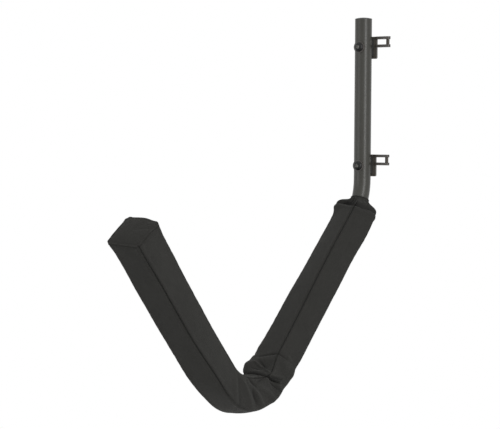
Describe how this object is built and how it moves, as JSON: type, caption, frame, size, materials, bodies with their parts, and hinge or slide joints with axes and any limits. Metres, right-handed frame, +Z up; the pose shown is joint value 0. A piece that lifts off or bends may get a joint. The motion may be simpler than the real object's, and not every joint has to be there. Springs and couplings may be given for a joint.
{
  "type": "wall storage hanger",
  "caption": "Wall hanger: a bent steel tube on offset side hinges that let it fold flat, with a fabric-covered foam V that cradles a kayak or a similar long load.",
  "frame": {"origin": "on the hinge axis, midway between the two ears of the lower hinge", "axes": "+Z up along the hinge axis, +X to the right for someone who faces the wall, +Y into the wall; the arm reaches towards -Y"},
  "size_m": [0.0598, 0.612, 0.5427],
  "materials": {
    "tube_coating": "charcoal powder coat, satin",
    "bracket_coating": "charcoal powder coat, satin",
    "pin_steel": "blackened steel",
    "black_steel": "black oxide",
    "black_plastic": "moulded, matte",
    "foam": "closed-cell foam",
    "cover_fabric": "woven nylon, matte"
  },
  "bodies": {
    "hinge_pins": {"lower_hinge_pin": "pin_steel", "upper_hinge_pin": "pin_steel"},
    "arm": {"hanger_tube": "tube_coating", "top_end_cap": "black_plastic", "tip_end_cap": "black_plastic", "foam_wall_arm": "foam", "foam_outer_arm": "foam", "cover_right_panel": "cover_fabric", "cover_outer_panel": "cover_fabric", "cover_left_panel": "cover_fabric", "cover_inner_panel": "cover_fabric", "cover_tip_panel": "cover_fabric", "cover_neck_panel": "cover_fabric", "neck_collar": "cover_fabric", "lower_saddle": "black_plastic", "lower_hinge_plate": "bracket_coating", "lower_hinge_ear_top": "bracket_coating", "lower_hinge_ear_bottom": "bracket_coating", "lower_bolt": "black_steel", "lower_bolt_washer": "black_steel", "lower_nut_washer": "black_steel", "lower_lock_nut": "black_steel", "upper_saddle": "black_plastic", "upper_hinge_plate": "bracket_coating", "upper_hinge_ear_top": "bracket_coating", "upper_hinge_ear_bottom": "bracket_coating", "upper_bolt": "black_steel", "upper_bolt_washer": "black_steel", "upper_nut_washer": "black_steel", "upper_lock_nut": "black_steel"}
  },
  "joints": [
    {"name": "swing", "type": "hinge", "parent": "hinge_pins", "child": "arm", "pos_m": [0, 0, 0], "axis": [0, 0, 1], "range_deg": [0, 90]}
  ]
}
